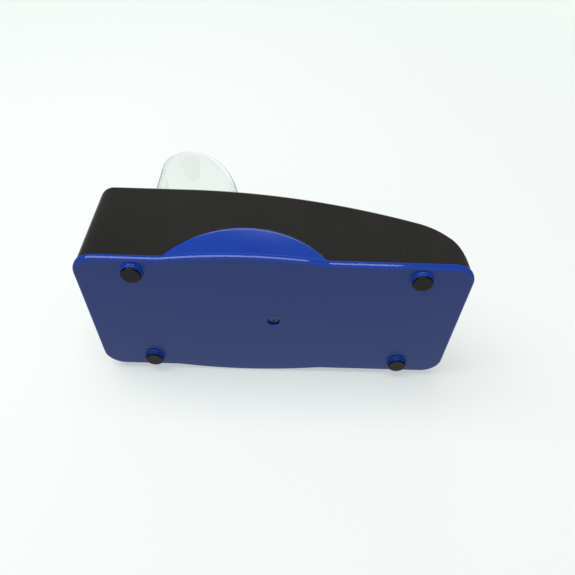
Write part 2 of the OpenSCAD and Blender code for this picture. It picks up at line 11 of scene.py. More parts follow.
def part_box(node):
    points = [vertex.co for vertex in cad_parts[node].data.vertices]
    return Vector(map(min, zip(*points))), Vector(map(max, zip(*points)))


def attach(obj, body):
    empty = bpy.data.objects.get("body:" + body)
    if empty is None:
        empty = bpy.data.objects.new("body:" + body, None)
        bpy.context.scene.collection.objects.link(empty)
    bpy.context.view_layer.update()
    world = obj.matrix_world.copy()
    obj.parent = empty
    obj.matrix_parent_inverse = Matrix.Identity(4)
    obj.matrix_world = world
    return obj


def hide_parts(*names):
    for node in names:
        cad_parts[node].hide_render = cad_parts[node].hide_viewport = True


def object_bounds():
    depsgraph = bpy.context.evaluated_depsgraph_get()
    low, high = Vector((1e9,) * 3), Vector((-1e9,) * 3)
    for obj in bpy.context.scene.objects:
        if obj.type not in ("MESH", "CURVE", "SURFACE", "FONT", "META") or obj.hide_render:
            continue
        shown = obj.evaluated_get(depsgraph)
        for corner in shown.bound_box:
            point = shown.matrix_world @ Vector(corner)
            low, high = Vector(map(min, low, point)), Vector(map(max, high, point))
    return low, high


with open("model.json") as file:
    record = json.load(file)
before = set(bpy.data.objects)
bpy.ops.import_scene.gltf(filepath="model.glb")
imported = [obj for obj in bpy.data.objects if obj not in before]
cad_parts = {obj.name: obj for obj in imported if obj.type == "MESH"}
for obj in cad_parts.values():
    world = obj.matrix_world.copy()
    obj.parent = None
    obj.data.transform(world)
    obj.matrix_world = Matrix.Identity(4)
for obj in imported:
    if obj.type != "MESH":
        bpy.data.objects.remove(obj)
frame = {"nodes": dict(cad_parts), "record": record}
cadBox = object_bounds()
bodyOf = {node: body for body, nodes in frame["record"]["behaviour"]["bodies"].items() for node in nodes}
slotOf = {part["node"]: part["material_slot"] for part in frame["record"]["subparts"]}


def cornersOf(node):  # lowest and highest corner of a node, in millimetres
    low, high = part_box(node)
    return np.array(low) * 1000, np.array(high) * 1000


def newGroup(name, inputs, outputs):  # inputs and outputs: {socket name: (type, default)}
    group = bpy.data.node_groups.new(name, "ShaderNodeTree")
    for label, (kind, value) in inputs.items():
        socket = group.interface.new_socket(label, in_out="INPUT", socket_type=kind)
        if value is not None:
            socket.default_value = value
    for label, kind in outputs.items():
        group.interface.new_socket(label, in_out="OUTPUT", socket_type=kind)
    return group, group.nodes.new("NodeGroupInput"), group.nodes.new("NodeGroupOutput")


def addNode(tree, kind, settings=None, values=None):
    node = tree.nodes.new(kind)
    for key, value in (settings or {}).items():
        setattr(node, key, value)
    for key, value in (values or {}).items():
        node.inputs[key].default_value = value
    return node


def addMath(tree, operation, a, b=None, clamp=False):
    node = addNode(tree, "ShaderNodeMath", {"operation": operation, "use_clamp": clamp})
    for place, value in ((0, a), (1, b)):
        if hasattr(value, "is_output"):
            tree.links.new(value, node.inputs[place])
        elif value is not None:
            node.inputs[place].default_value = value
    return node.outputs[0]


def addRange(tree, value, low, high, toLow=0.0, toHigh=1.0):
    node = addNode(tree, "ShaderNodeMapRange", {"clamp": True}, {1: low, 2: high, 3: toLow, 4: toHigh})
    tree.links.new(value, node.inputs[0])
    return node.outputs[0]


def addMix(tree, share, first, second):
    node = addNode(tree, "ShaderNodeMix", {"data_type": "RGBA", "clamp_factor": True})
    for socket, value in ((node.inputs[0], share), (node.inputs[6], first), (node.inputs[7], second)):
        if hasattr(value, "is_output"):
            tree.links.new(value, socket)
        else:
            socket.default_value = value
    return node.outputs[2]


def objectPoint(tree):
    return addNode(tree, "ShaderNodeTexCoord").outputs["Object"]


def buildMouldGrain():
    # Moulded plastic: fine grain height, slow mottling of the colour, and specks of dust.
    group, inside, outside = newGroup("mouldGrain", {"Grain": ("NodeSocketFloat", 2500.0), "Mottle": ("NodeSocketFloat", 60.0),
        "Speck": ("NodeSocketFloat", 900.0)}, {"Height": "NodeSocketFloat", "Mottling": "NodeSocketFloat", "Specks": "NodeSocketFloat"})
    point = objectPoint(group)
    grain = addNode(group, "ShaderNodeTexNoise", None, {"Detail": 3.0, "Roughness": 0.6})
    mottle = addNode(group, "ShaderNodeTexNoise", None, {"Detail": 4.0, "Roughness": 0.55})
    speck = addNode(group, "ShaderNodeTexVoronoi", {"feature": "F1"})
    thin = addNode(group, "ShaderNodeTexNoise", None, {"Scale": 45.0, "Detail": 2.0})
    for node, label in ((grain, "Grain"), (mottle, "Mottle"), (speck, "Speck")):
        group.links.new(point, node.inputs["Vector"])
        group.links.new(inside.outputs[label], node.inputs["Scale"])
    group.links.new(point, thin.inputs["Vector"])
    near = addRange(group, speck.outputs["Distance"], 0.05, 0.16, 1.0, 0.0)
    rare = addRange(group, speck.outputs["Color"], 0.86, 0.9)
    few = addRange(group, thin.outputs["Fac"], 0.5, 0.66)
    group.links.new(grain.outputs["Fac"], outside.inputs["Height"])
    group.links.new(mottle.outputs["Fac"], outside.inputs["Mottling"])
    group.links.new(addMath(group, "MULTIPLY", addMath(group, "MULTIPLY", near, rare), few), outside.inputs["Specks"])
    return group


def buildEdgeRub():
    # Rubbed edges: 1 where a rounded normal parts from the true one, broken up by noise.
    group, inside, outside = newGroup("edgeRub", {"Radius": ("NodeSocketFloat", 0.0004)},
                                      {"Edge": "NodeSocketFloat", "Normal": "NodeSocketVector"})
    rounded = addNode(group, "ShaderNodeBevel", {"samples": 4})
    group.links.new(inside.outputs["Radius"], rounded.inputs["Radius"])
    true = addNode(group, "ShaderNodeNewGeometry")
    dot = addNode(group, "ShaderNodeVectorMath", {"operation": "DOT_PRODUCT"})
    group.links.new(rounded.outputs["Normal"], dot.inputs[0])
    group.links.new(true.outputs["True Normal"], dot.inputs[1])
    worn = addNode(group, "ShaderNodeTexNoise", None, {"Scale": 350.0, "Detail": 4.0, "Roughness": 0.7})
    group.links.new(objectPoint(group), worn.inputs["Vector"])
    away = addRange(group, dot.outputs["Value"], 0.985, 0.86)
    group.links.new(addMath(group, "MULTIPLY", away, addRange(group, worn.outputs["Fac"], 0.35, 0.65), True), outside.inputs["Edge"])
    group.links.new(rounded.outputs["Normal"], outside.inputs["Normal"])
    return group


def buildDrawnLines():
    # Drawn or turned metal: noise stretched along one direction by the Stretch input.
    group, inside, outside = newGroup("drawnLines", {"Stretch": ("NodeSocketVector", (40.0, 2500.0, 2500.0))},
                                      {"Lines": "NodeSocketFloat", "Stain": "NodeSocketFloat"})
    scaled = addNode(group, "ShaderNodeVectorMath", {"operation": "MULTIPLY"})
    point = objectPoint(group)
    group.links.new(point, scaled.inputs[0])
    group.links.new(inside.outputs["Stretch"], scaled.inputs[1])
    lines = addNode(group, "ShaderNodeTexNoise", None, {"Scale": 1.0, "Detail": 4.0, "Roughness": 0.65})
    stain = addNode(group, "ShaderNodeTexNoise", None, {"Scale": 90.0, "Detail": 5.0, "Roughness": 0.6})
    group.links.new(scaled.outputs[0], lines.inputs["Vector"])
    group.links.new(point, stain.inputs["Vector"])
    group.links.new(lines.outputs["Fac"], outside.inputs["Lines"])
    group.links.new(stain.outputs["Fac"], outside.inputs["Stain"])
    return group


mouldGrain = buildMouldGrain()
edgeRub = buildEdgeRub()
drawnLines = buildDrawnLines()


def startMaterial(name, settings):  # a Principled shader with its constants set on its own sockets
    material = bpy.data.materials.new(name)
    material.use_nodes = True
    tree = material.node_tree
    shader = tree.nodes["Principled BSDF"]
    for key, value in settings.items():
        shader.inputs[key].default_value = value
    return material, tree, shader


def placeGroup(tree, group, values):
    node = addNode(tree, "ShaderNodeGroup", {"node_tree": group})
    for key, value in values.items():
        node.inputs[key].default_value = value
    return node


def feedBump(tree, shader, height, strength, distance, normal=None):
    bump = addNode(tree, "ShaderNodeBump", None, {"Strength": strength, "Distance": distance})
    tree.links.new(height, bump.inputs["Height"])
    if normal is not None:
        tree.links.new(normal, bump.inputs["Normal"])
    tree.links.new(bump.outputs["Normal"], shader.inputs["Normal"])


def plasticFinish(name, look):
    # Moulded plastic: mottled colour between two tones, paler at rubbed edges, with dust specks and a fine grain.
    material, tree, shader = startMaterial(name, {"IOR": look.get("ior", 1.5)})
    grain = placeGroup(tree, mouldGrain, {"Grain": look["grain"], "Mottle": look["mottle"], "Speck": look.get("speck", 900.0)})
    edge = placeGroup(tree, edgeRub, {"Radius": look["edgeRadius"]})
    tone = addMix(tree, addRange(tree, grain.outputs["Mottling"], 0.3, 0.7), look["dark"], look["light"])
    tone = addMix(tree, addMath(tree, "MULTIPLY", edge.outputs["Edge"], look["rub"]), tone, look["rubbed"])
    tone = addMix(tree, addMath(tree, "MULTIPLY", grain.outputs["Specks"], look["dust"]), tone, (0.55, 0.55, 0.53, 1))
    tree.links.new(tone, shader.inputs["Base Color"])
    rough = addRange(tree, grain.outputs["Mottling"], 0.3, 0.7, look["rough"][0], look["rough"][1])
    rough = addMath(tree, "ADD", rough, addMath(tree, "MULTIPLY", grain.outputs["Specks"], 0.3), True)
    tree.links.new(rough, shader.inputs["Roughness"])
    feedBump(tree, shader, grain.outputs["Height"], look["bump"], 0.00004, edge.outputs["Normal"])
    return material


def metalFinish(name, look):
    # Machined or drawn metal: fine lines in the roughness and height, a faint stain, brighter at rubbed edges.
    material, tree, shader = startMaterial(name, {"Metallic": 1.0, "IOR": 1.5})
    lines = placeGroup(tree, drawnLines, {"Stretch": look["stretch"]})
    edge = placeGroup(tree, edgeRub, {"Radius": look["edgeRadius"]})
    tone = addMix(tree, addRange(tree, lines.outputs["Stain"], 0.35, 0.75), look["light"], look["dark"])
    tone = addMix(tree, addMath(tree, "MULTIPLY", edge.outputs["Edge"], look["rub"]), tone, look["rubbed"])
    tree.links.new(tone, shader.inputs["Base Color"])
    tree.links.new(addRange(tree, lines.outputs["Lines"], 0.25, 0.75, look["rough"][0], look["rough"][1]), shader.inputs["Roughness"])
    feedBump(tree, shader, lines.outputs["Lines"], look["bump"], 0.00003, edge.outputs["Normal"])
    return material


plasticLooks = {
    "black_plastic": {"dark": (0.0115, 0.0107, 0.0092, 1), "light": (0.0155, 0.0144, 0.0124, 1), "rubbed": (0.05, 0.05, 0.05, 1), "rub": 0.3,
                      "rough": (0.07, 0.12), "ior": 1.46, "grain": 1400.0, "mottle": 35.0, "bump": 0.05, "edgeRadius": 0.0004, "dust": 0.3},
    "dark_plastic": {"dark": (0.022, 0.022, 0.023, 1), "light": (0.034, 0.034, 0.034, 1), "rubbed": (0.12, 0.12, 0.12, 1), "rub": 0.5,
                     "rough": (0.42, 0.56), "grain": 3200.0, "mottle": 120.0, "bump": 0.35, "edgeRadius": 0.0003, "dust": 0.4},
    "hub_plastic": {"dark": (0.62, 0.61, 0.57, 1), "light": (0.74, 0.73, 0.69, 1), "rubbed": (0.82, 0.81, 0.78, 1), "rub": 0.5,
                    "rough": (0.34, 0.46), "grain": 2600.0, "mottle": 90.0, "bump": 0.2, "edgeRadius": 0.0003, "dust": 0.0},
    "pad_rubber": {"dark": (0.0012, 0.0012, 0.0012, 1), "light": (0.006, 0.006, 0.0058, 1), "rubbed": (0.04, 0.038, 0.034, 1), "rub": 0.5,
                   "rough": (0.16, 0.5), "ior": 1.33, "grain": 1500.0, "mottle": 420.0, "bump": 0.9, "edgeRadius": 0.0003, "dust": 0.35},
}
metalLooks = {
    "screw_steel": {"light": (0.56, 0.56, 0.58, 1), "dark": (0.36, 0.36, 0.38, 1), "rubbed": (0.8, 0.8, 0.82, 1), "rub": 0.6,
                    "rough": (0.22, 0.4), "stretch": (900.0, 900.0, 900.0), "bump": 0.15, "edgeRadius": 0.0002},
    "ballast_iron": {"light": (0.17, 0.165, 0.16, 1), "dark": (0.09, 0.085, 0.08, 1), "rubbed": (0.4, 0.39, 0.38, 1), "rub": 0.7,
                     "rough": (0.45, 0.7), "stretch": (1200.0, 1200.0, 1200.0), "bump": 0.8, "edgeRadius": 0.0006},
    "frame_steel": {"light": (0.58, 0.585, 0.6, 1), "dark": (0.44, 0.45, 0.47, 1), "rubbed": (0.8, 0.8, 0.82, 1), "rub": 0.6,
                    "rough": (0.26, 0.42), "stretch": (60.0, 3000.0, 3000.0), "bump": 0.25, "edgeRadius": 0.0003},
    "axle_steel": {"light": (0.66, 0.66, 0.68, 1), "dark": (0.5, 0.5, 0.52, 1), "rubbed": (0.85, 0.85, 0.87, 1), "rub": 0.5,
                   "rough": (0.16, 0.28), "stretch": (300.0, 5000.0, 300.0), "bump": 0.15, "edgeRadius": 0.0003},
    "bush_brass": {"light": (0.78, 0.57, 0.25, 1), "dark": (0.55, 0.38, 0.16, 1), "rubbed": (0.9, 0.72, 0.4, 1), "rub": 0.5,
                   "rough": (0.2, 0.36), "stretch": (300.0, 4000.0, 300.0), "bump": 0.15, "edgeRadius": 0.0003},
    "core_aluminium": {"light": (0.75, 0.76, 0.78, 1), "dark": (0.6, 0.61, 0.63, 1), "rubbed": (0.88, 0.88, 0.9, 1), "rub": 0.4,
                       "rough": (0.2, 0.34), "stretch": (300.0, 4000.0, 300.0), "bump": 0.15, "edgeRadius": 0.0003},
    "blade_steel": {"light": (0.72, 0.72, 0.74, 1), "dark": (0.55, 0.55, 0.58, 1), "rubbed": (0.92, 0.92, 0.94, 1), "rub": 0.8,
                    "rough": (0.14, 0.3), "stretch": (2500.0, 40.0, 2500.0), "bump": 0.2, "edgeRadius": 0.0002},
}
finishes = {slot: plasticFinish(slot, look) for slot, look in plasticLooks.items()}
finishes.update({slot: metalFinish(slot, look) for slot, look in metalLooks.items()})


def basePlastic():
    # Blue moulding: glossy on the rim and half-moons, finely etched and greyer on the flat underside, with scuffs there.
    look = {"deep": (0.0003, 0.034, 0.32, 1), "pale": (0.0004, 0.042, 0.36, 1), "under": (0.0004, 0.031, 0.215, 1),
            "scuffed": (0.07, 0.11, 0.3, 1)}
    material, tree, shader = startMaterial("blue_plastic", {"IOR": 1.5})
    grain = placeGroup(tree, mouldGrain, {"Grain": 5200.0, "Mottle": 26.0, "Speck": 700.0})
    normal = addNode(tree, "ShaderNodeNewGeometry")
    split = addNode(tree, "ShaderNodeSeparateXYZ")
    tree.links.new(normal.outputs["True Normal"], split.inputs[0])
    place = addNode(tree, "ShaderNodeSeparateXYZ")
    tree.links.new(objectPoint(tree), place.inputs[0])
    faceDown = addRange(tree, split.outputs["Z"], -0.985, -0.999)
    low = addRange(tree, place.outputs["Z"], 0.0033, 0.0031)
    etched = addMath(tree, "MULTIPLY", faceDown, low)  # 1 on the flat underside only
    tone = addMix(tree, addRange(tree, grain.outputs["Mottling"], 0.3, 0.7), look["deep"], look["pale"])
    tone = addMix(tree, etched, tone, look["under"])
    stretched = addNode(tree, "ShaderNodeMapping", {"vector_type": "POINT"}, {"Rotation": (0, 0, 0.6), "Scale": (90, 1400, 1)})
    tree.links.new(objectPoint(tree), stretched.inputs[0])
    scratch = addNode(tree, "ShaderNodeTexNoise", None, {"Scale": 1.0, "Detail": 2.0})
    tree.links.new(stretched.outputs[0], scratch.inputs["Vector"])
    scuff = addMath(tree, "MULTIPLY", addRange(tree, scratch.outputs["Fac"], 0.68, 0.74), etched)
    tone = addMix(tree, addMath(tree, "MULTIPLY", scuff, 0.18), tone, look["scuffed"])
    tone = addMix(tree, addMath(tree, "MULTIPLY", grain.outputs["Specks"], 0.35), tone, (0.5, 0.52, 0.6, 1))
    tree.links.new(tone, shader.inputs["Base Color"])
    glossy = addRange(tree, grain.outputs["Mottling"], 0.3, 0.7, 0.04, 0.08)
    rough = addMath(tree, "ADD", glossy, addMath(tree, "MULTIPLY", etched, 0.3), True)
    tree.links.new(rough, shader.inputs["Roughness"])
    height = addMath(tree, "MULTIPLY", grain.outputs["Height"], addRange(tree, etched, 0.0, 1.0, 0.08, 1.0))
    feedBump(tree, shader, height, 0.35, 0.00004)
    return material


def clearPlastic():
    # Clear acrylic: full transmission, faint dust in the colour and roughness, wipe marks in the roughness, and painted
    # shade: the colour turns dark grey where the wall turns away from the view, which draws its dark outline.
    # edge is a painted shade colour, a dark grey mixed in at grazing view to draw the wall's dark outline
    look = {"clean": (0.985, 0.992, 0.99, 1), "dusty": (0.8, 0.8, 0.79, 1), "edge": (0.2, 0.205, 0.21, 1), "paintedShadeFrom": 0.7, "paintedShadeTo": 0.95,
            "smooth": 0.01, "wiped": 0.05, "wipeTurn": (0.2, 0.5, 0.7), "wipeScale": (30, 260, 260)}
    material, tree, shader = startMaterial("clear_plastic", {"Base Color": (0.97, 0.985, 0.98, 1), "Transmission Weight": 1.0,
                                                             "Metallic": 0.0, "IOR": 1.49})
    grain = placeGroup(tree, mouldGrain, {"Grain": 900.0, "Mottle": 22.0, "Speck": 800.0})
    wiped = addNode(tree, "ShaderNodeMapping", None, {"Rotation": look["wipeTurn"], "Scale": look["wipeScale"]})
    tree.links.new(objectPoint(tree), wiped.inputs[0])
    streak = addNode(tree, "ShaderNodeTexNoise", None, {"Scale": 1.0, "Detail": 3.0})
    tree.links.new(wiped.outputs[0], streak.inputs["Vector"])
    rough = addMath(tree, "ADD", addRange(tree, streak.outputs["Fac"], 0.55, 0.8, look["smooth"], look["wiped"]),
                    addMath(tree, "MULTIPLY", grain.outputs["Specks"], 0.3), True)
    tree.links.new(rough, shader.inputs["Roughness"])
    tone = addMix(tree, addMath(tree, "MULTIPLY", grain.outputs["Specks"], 0.6), look["clean"], look["dusty"])
    grazing = addNode(tree, "ShaderNodeLayerWeight", None, {"Blend": 0.5})
    edge = addRange(tree, grazing.outputs["Facing"], look["paintedShadeFrom"], look["paintedShadeTo"])  # painted shade: the colour darkens where the wall turns away from the view
    tree.links.new(addMix(tree, edge, tone, look["edge"]), shader.inputs["Base Color"])
    feedBump(tree, shader, streak.outputs["Fac"], 0.05, 0.00006)
    return material


def tapeFilm():
    # Brown packing tape: wound layers show as fine rings on the roll's ends, and as faint cross bands on the film.
    look = {"centre": (-0.048, 0.0, 0.0415), "dark": (0.3, 0.17, 0.055, 1), "light": (0.46, 0.29, 0.11, 1), "end": (0.5, 0.34, 0.16, 1)}
    material, tree, shader = startMaterial("tape_film", {"IOR": 1.5, "Coat Weight": 0.35, "Coat Roughness": 0.08})
    point = objectPoint(tree)
    away = addNode(tree, "ShaderNodeVectorMath", {"operation": "SUBTRACT"})
    away.inputs[1].default_value = look["centre"]
    tree.links.new(point, away.inputs[0])
    flat = addNode(tree, "ShaderNodeVectorMath", {"operation": "MULTIPLY"})
    flat.inputs[1].default_value = (1, 0, 1)
    tree.links.new(away.outputs[0], flat.inputs[0])
    radius = addNode(tree, "ShaderNodeVectorMath", {"operation": "LENGTH"})
    tree.links.new(flat.outputs[0], radius.inputs[0])
    ringVector = addNode(tree, "ShaderNodeCombineXYZ")
    tree.links.new(addMath(tree, "MULTIPLY", radius.outputs["Value"], 6000.0), ringVector.inputs[0])
    rings = addNode(tree, "ShaderNodeTexNoise", None, {"Scale": 1.0, "Detail": 3.0, "Roughness": 0.7})
    tree.links.new(ringVector.outputs[0], rings.inputs["Vector"])
    cloud = addNode(tree, "ShaderNodeTexNoise", None, {"Scale": 70.0, "Detail": 4.0})
    tree.links.new(point, cloud.inputs["Vector"])
    normal = addNode(tree, "ShaderNodeNewGeometry")
    side = addNode(tree, "ShaderNodeSeparateXYZ")
    tree.links.new(normal.outputs["True Normal"], side.inputs[0])
    onEnd = addRange(tree, addMath(tree, "ABSOLUTE", side.outputs["Y"]), 0.9, 0.98)
    film = addMix(tree, addRange(tree, cloud.outputs["Fac"], 0.3, 0.7), look["dark"], look["light"])
    wound = addMix(tree, addRange(tree, rings.outputs["Fac"], 0.3, 0.7), look["dark"], look["end"])
    tree.links.new(addMix(tree, onEnd, film, wound), shader.inputs["Base Color"])
    tree.links.new(addRange(tree, addMath(tree, "ADD", onEnd, addMath(tree, "MULTIPLY", cloud.outputs["Fac"], 0.3)), 0.0, 1.3, 0.12, 0.55),
                   shader.inputs["Roughness"])
    feedBump(tree, shader, addMath(tree, "MULTIPLY", rings.outputs["Fac"], onEnd), 0.5, 0.00005)
    return material


def coreBoard():
    # Kraft core: pulpy fibres, stretched along one direction.
    look = {"dark": (0.36, 0.24, 0.13, 1), "light": (0.54, 0.39, 0.23, 1), "fibreTurn": (0, 0.5, 0), "fibreScale": (1500, 300, 1500)}
    material, tree, shader = startMaterial("core_cardboard", {"IOR": 1.45})
    point = objectPoint(tree)
    fibre = addNode(tree, "ShaderNodeMapping", None, {"Rotation": look["fibreTurn"], "Scale": look["fibreScale"]})
    tree.links.new(point, fibre.inputs[0])
    noise = addNode(tree, "ShaderNodeTexNoise", None, {"Scale": 1.0, "Detail": 5.0, "Roughness": 0.7})
    tree.links.new(fibre.outputs[0], noise.inputs["Vector"])
    tree.links.new(addMix(tree, addRange(tree, noise.outputs["Fac"], 0.3, 0.7), look["dark"], look["light"]), shader.inputs["Base Color"])
    tree.links.new(addRange(tree, noise.outputs["Fac"], 0.3, 0.7, 0.75, 0.92), shader.inputs["Roughness"])
    feedBump(tree, shader, noise.outputs["Fac"], 0.6, 0.00006)
    return material


def brakeFelt():
    # Pressed felt: matted fibres.
    look = {"dark": (0.26, 0.24, 0.19, 1), "light": (0.5, 0.47, 0.39, 1)}
    material, tree, shader = startMaterial("brake_felt", {"IOR": 1.4, "Sheen Weight": 0.6, "Sheen Roughness": 0.6})
    noise = addNode(tree, "ShaderNodeTexNoise", None, {"Scale": 2600.0, "Detail": 6.0, "Roughness": 0.75, "Distortion": 1.2})
    tree.links.new(objectPoint(tree), noise.inputs["Vector"])
    tree.links.new(addMix(tree, addRange(tree, noise.outputs["Fac"], 0.3, 0.7), look["dark"], look["light"]), shader.inputs["Base Color"])
    tree.links.new(addRange(tree, noise.outputs["Fac"], 0.3, 0.7, 0.85, 0.98), shader.inputs["Roughness"])
    feedBump(tree, shader, noise.outputs["Fac"], 0.9, 0.0001)
    return material


finishes.update({"blue_plastic": basePlastic(), "clear_plastic": clearPlastic(), "tape_film": tapeFilm(),
                 "core_cardboard": coreBoard(), "brake_felt": brakeFelt()})
for nodeName, nodeObject in frame["nodes"].items():  # carried-over parts take their slot's finish
    nodeObject.data.materials.clear()
    nodeObject.data.materials.append(finishes[slotOf[nodeName]])
print("finishes on", len(frame["nodes"]), "parts")


def gridFaces(rows, columns, wrap=False):  # four-cornered faces of a grid stored row by row; wrap joins the last row to the first
    i, j = np.meshgrid(np.arange(rows if wrap else rows - 1), np.arange(columns - 1), indexing="ij")
    k = (i + 1) % rows
    return np.stack([i * columns + j, k * columns + j, k * columns + j + 1, i * columns + j + 1], -1).reshape(-1, 4)


def makePiece(name, surfaces, node, replacing=True, turnOut=True, sharp=35.0):
    # One mesh of several grids. Each is (points in mm, wrap, faces kept or None); touching edges are welded and normals turned out.
    points, faces, start = [], [], 0
    for grid, wrap, keep in surfaces:
        quads = gridFaces(grid.shape[0], grid.shape[1], wrap) + start
        faces.append(quads if keep is None else quads[keep.ravel()])
        points.append(grid.reshape(-1, 3) * 0.001)
        start += grid.shape[0] * grid.shape[1]
    mesh = bpy.data.meshes.new(name)
    mesh.from_pydata(np.concatenate(points).tolist(), [], np.concatenate(faces).tolist())
    work = bmesh.new()
    work.from_mesh(mesh)
    bmesh.ops.remove_doubles(work, verts=work.verts, dist=2e-6)
    bmesh.ops.dissolve_degenerate(work, edges=work.edges, dist=1e-7)
    loose = [v for v in work.verts if not v.link_faces]
    bmesh.ops.delete(work, geom=loose, context="VERTS")
    if turnOut:
        bmesh.ops.recalc_face_normals(work, faces=work.faces)
    work.to_mesh(mesh)
    work.free()
    mesh.shade_smooth()
    mesh.set_sharp_from_angle(angle=math.radians(sharp))
    piece = bpy.data.objects.new(name, mesh)
    bpy.context.scene.collection.objects.link(piece)
    mesh.materials.append(finishes[slotOf[node]])
    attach(piece, bodyOf[node])
    if replacing:
        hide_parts(node)
    return piece


def makeShellWall(piece, inside, wall, rimWidth):
    # An open shell faces away from the point inside it, by which way most faces look, then gets its wall inwards and a rounded rim.
    mesh = piece.data
    normals, middles = np.empty(len(mesh.polygons) * 3), np.empty(len(mesh.polygons) * 3)
    mesh.polygons.foreach_get("normal", normals)
    mesh.polygons.foreach_get("center", middles)
    if ((middles.reshape(-1, 3) - inside) * normals.reshape(-1, 3)).sum() < 0:
        mesh.flip_normals()
    solid = piece.modifiers.new("wall", "SOLIDIFY")
    solid.thickness, solid.offset, solid.use_even_offset = wall * 0.001, -1, False
    rim = piece.modifiers.new("rimRound", "BEVEL")
    rim.width, rim.segments, rim.limit_method, rim.angle_limit = rimWidth * 0.001, 3, "ANGLE", math.radians(60)


def turned(profile, centre, axis="Z", steps=64):
    # A profile of (radius, height) pairs turned once round an axis through centre.
    profile = np.array(profile, float)
    turn = np.linspace(0, 2 * np.pi, steps, endpoint=False)[:, None]
    flatA, flatB = profile[:, 0] * np.cos(turn), profile[:, 0] * np.sin(turn)
    along = np.broadcast_to(profile[:, 1], flatA.shape)
    order = {"Z": (flatA, flatB, along), "Y": (flatB, along, flatA)}[axis]
    return np.stack(order, -1) + np.array(centre, float), True, None


def quarter(cx, cz, r, a0, a1, n=6):  # points of an arc in a profile, angles in degrees
    a = np.radians(np.linspace(a0, a1, n))
    return np.stack([cx + r * np.cos(a), cz + r * np.sin(a)], -1)


baseShape = {"halfLength": 100.0, "halfWidth": 45.35, "corner": 11.4, "beadDeep": 2.3, "beadIn": 1.7, "underZ": 3.0, "parting": 6.2,
             "bulge": 3.3, "bulgeX": -14.6, "bulgeHalf": 41.5, "floor": 5.4, "bore": 1.6, "recess": 3.35, "recessDeep": 1.6,
             "lipInset": 4.0, "lipThick": 1.8, "lipTop": 9.2, "moonR": 47.2, "moonZ": -18.0, "moonStep": 0.4, "moonLean": 10.107,
             "moonRound": 0.35, "ringR": 5.9, "ringFoot": 1.0}


def basePlan(inset, shape=baseShape):
    # Outline of the base moved in by inset: a rectangle with round corners whose long sides swell by a flat arc. Shape (n, 2).
    halfLength, halfWidth = shape["halfLength"], shape["halfWidth"]
    r = max(shape["corner"] - inset, 0.5)
    bigR = (shape["bulgeHalf"] ** 2 + shape["bulge"] ** 2) / (2 * shape["bulge"])
    left, right = -halfLength + shape["corner"], halfLength - shape["corner"]
    x = np.concatenate([np.linspace(right, shape["bulgeX"] + 46, 14), np.linspace(shape["bulgeX"] + 45, shape["bulgeX"] - 45, 91),
                        np.linspace(shape["bulgeX"] - 46, left, 8)])
    swell = halfWidth + shape["bulge"] - bigR + np.sqrt((bigR - inset) ** 2 - (x - shape["bulgeX"]) ** 2)
    straight = halfWidth - inset
    gap = swell - straight
    y = straight + 0.5 * (gap + np.sqrt(gap ** 2 + 0.16 ** 2))  # smooth greater of the two
    turn = np.radians(np.linspace(0, 90, 17))[1:-1]
    rise = np.stack([right + r * np.cos(turn), halfWidth - shape["corner"] + r * np.sin(turn)], -1)
    fall = np.stack([left - r * np.sin(turn), halfWidth - shape["corner"] + r * np.cos(turn)], -1)
    ends = np.linspace(-1, 1, 25)[:, None] * (halfWidth - shape["corner"])
    front = np.concatenate([np.full_like(ends, halfLength - inset), ends], -1)
    upper = np.concatenate([rise, np.stack([x, y], -1), fall])
    back = np.concatenate([np.full_like(ends, -halfLength + inset), -ends], -1)
    return np.concatenate([front, upper, back, upper[::-1] * [1, -1]])


def sweptPlan(profile):  # a profile of (inset, height) carried round the base's outline
    rings = [np.concatenate([basePlan(a), np.full((len(basePlan(a)), 1), z)], -1) for a, z in profile]
    return np.stack(rings, 1)


def fillIn(ring, innerRadius, z, steps=14):  # flat face between an outline and a circle round the origin
    angle = np.arctan2(ring[:, 1], ring[:, 0])
    circle = np.stack([np.cos(angle), np.sin(angle)], -1) * innerRadius
    share = np.linspace(0, 1, steps)[None, :, None] ** 0.8
    flat = ring[:, None, :] * (1 - share) + circle[:, None, :] * share
    return np.concatenate([flat, np.full(flat.shape[:2] + (1,), z)], -1)


def padMiddles(padR=5.1):  # the four feet's middles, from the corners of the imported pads
    low, high = cornersOf("foot_pads")
    return [(x, y, 0) for x in (low[0] + padR, high[0] - padR) for y in (low[1] + padR, high[1] - padR)]


def halfMoon(side, shape=baseShape):
    # Half-moon cover: the part of a leaning cylinder inside a circle, with a small round along the arc and a return behind it.
    bigR = (shape["bulgeHalf"] ** 2 + shape["bulge"] ** 2) / (2 * shape["bulge"])
    lean = math.radians(shape["moonLean"])
    start = math.asin((shape["parting"] - shape["moonZ"]) / shape["moonR"])
    turn = np.linspace(start, np.pi - start, 121)
    half = shape["moonR"] * math.cos(start)
    depth = np.radians(np.linspace(0, 90, 6))
    edge = shape["moonRound"]

    def face(x, z):
        g = bigR - np.sqrt(bigR ** 2 - (x - shape["bulgeX"]) ** 2)
        return shape["halfWidth"] + shape["bulge"] - shape["moonStep"] - g / math.cos(lean) - (z - shape["parting"]) * math.tan(lean)

    rows = []
    footX = shape["bulgeX"] + half * np.cos(turn) / math.cos(start)
    for share in np.linspace(0, 1, 13):
        r = shape["moonR"] - edge
        x = footX * (1 - share) + (shape["bulgeX"] + r * np.cos(turn)) * share
        z = shape["parting"] * (1 - share) + np.maximum(shape["moonZ"] + r * np.sin(turn), shape["parting"]) * share
        rows.append(np.stack([x, face(x, z), z], -1))
    for a in depth[1:]:
        r = shape["moonR"] - edge + edge * math.sin(a)
        x, z = shape["bulgeX"] + r * np.cos(turn), np.maximum(shape["moonZ"] + r * np.sin(turn), shape["parting"])
        rows.append(np.stack([x, face(x, z) - edge * (1 - math.cos(a)), z], -1))
    rows.append(rows[-1] - [0, 2.2, 0])
    rows.append(rows[0] - [0, 2.6, 0])
    grid = np.stack(rows, 1)
    grid[..., 1] *= side
    return grid, False, None


